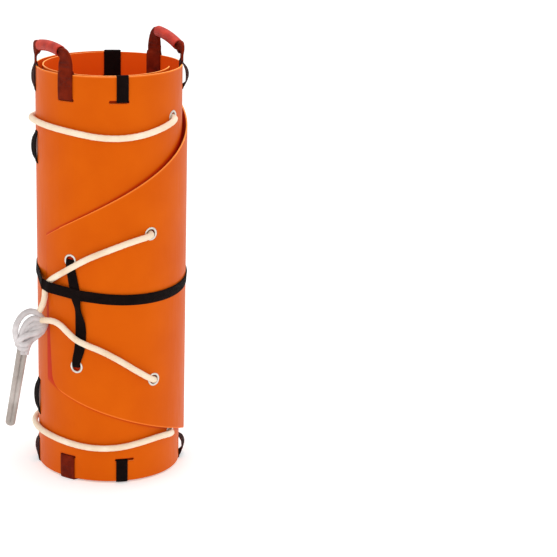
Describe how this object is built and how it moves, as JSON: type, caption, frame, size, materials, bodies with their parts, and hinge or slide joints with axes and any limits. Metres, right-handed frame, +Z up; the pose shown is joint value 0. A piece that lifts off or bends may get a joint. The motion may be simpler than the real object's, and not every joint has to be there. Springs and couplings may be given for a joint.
{
  "type": "rescue stretcher",
  "caption": "Flexible rescue stretcher rolled upright for carrying, with buckled closure strap, edge ropes, knotted tow rope, cross straps and webbing handles with round grips.",
  "frame": {"origin": "on the roll's axis, on the floor that the roll stands on", "axes": "+Z up along the roll, -Y the front with the tow rope, +X the right side"},
  "size_m": [0.4118, 0.3551, 0.9913],
  "materials": {
    "sheet": "satin polyethylene",
    "black_webbing": "woven",
    "brown_webbing": "woven",
    "rope": "braided",
    "grip": "matt",
    "eyelet": "worn nickel plate",
    "buckle": "zinc-plated steel"
  },
  "bodies": {
    "root": {"buckle_frame": "buckle", "buckle_pin": "buckle", "closure_strap": "black_webbing", "closure_tail": "black_webbing", "cross_strap_back_bottom": "black_webbing", "cross_strap_back_top": "black_webbing", "cross_strap_front_bottom": "black_webbing", "cross_strap_front_top": "black_webbing", "flap_eyelet_lower_left": "eyelet", "flap_eyelet_lower_right": "eyelet", "flap_eyelet_upper_left": "eyelet", "flap_eyelet_upper_right": "eyelet", "leg_bottom_left_front": "brown_webbing", "leg_bottom_left_side": "brown_webbing", "leg_bottom_right_back": "brown_webbing", "leg_bottom_right_side": "brown_webbing", "leg_top_left_front": "brown_webbing", "leg_top_left_side": "brown_webbing", "leg_top_right_back": "brown_webbing", "leg_top_right_side": "brown_webbing", "lower_edge_rope": "rope", "rim_eyelet_bottom_back": "eyelet", "rim_eyelet_bottom_front": "eyelet", "rim_eyelet_top_back": "eyelet", "rim_eyelet_top_front": "eyelet", "rope_knot": "rope", "rope_tail": "rope", "side_strap_lower": "brown_webbing", "side_strap_upper": "brown_webbing", "stretcher_sheet": "sheet", "tow_rope_lower": "rope", "tow_rope_upper": "rope", "tow_webbing": "black_webbing", "upper_edge_rope": "rope"},
    "handle_top_left": {"grip_top_left": "grip", "handle_webbing_top_left": "brown_webbing"},
    "handle_bottom_left": {"grip_bottom_left": "grip", "handle_webbing_bottom_left": "brown_webbing"},
    "handle_top_right": {"grip_top_right": "grip", "handle_webbing_top_right": "brown_webbing"},
    "handle_bottom_right": {"grip_bottom_right": "grip", "handle_webbing_bottom_right": "brown_webbing"},
    "buckle_lever": {"buckle_lever": "buckle"}
  },
  "joints": [
    {"name": "top_left_handle_fold", "type": "hinge", "parent": "root", "child": "handle_top_left", "pos_m": [-0.12608, -0.07133, 0.9364], "axis": [0.4924, -0.8704, 0], "range_deg": [-90, 90]},
    {"name": "top_right_handle_fold", "type": "hinge", "parent": "root", "child": "handle_top_right", "pos_m": [0.13161, 0.06366, 0.9364], "axis": [-0.4579, 0.889, 0], "range_deg": [-90, 90]},
    {"name": "bottom_left_handle_fold", "type": "hinge", "parent": "root", "child": "handle_bottom_left", "pos_m": [-0.11651, -0.06592, 0.0022], "axis": [0.4924, -0.8704, 0], "range_deg": [-90, 0]},
    {"name": "bottom_right_handle_fold", "type": "hinge", "parent": "root", "child": "handle_bottom_right", "pos_m": [0.12183, 0.05863, 0.0022], "axis": [-0.4579, 0.889, 0], "range_deg": [-90, 0]},
    {"name": "buckle_lever_turn", "type": "hinge", "parent": "root", "child": "buckle_lever", "pos_m": [-0.11398, 0.13325, 0.47804], "axis": [-0.0216, -0.0194, 0.9996], "range_deg": [0, 75]}
  ]
}
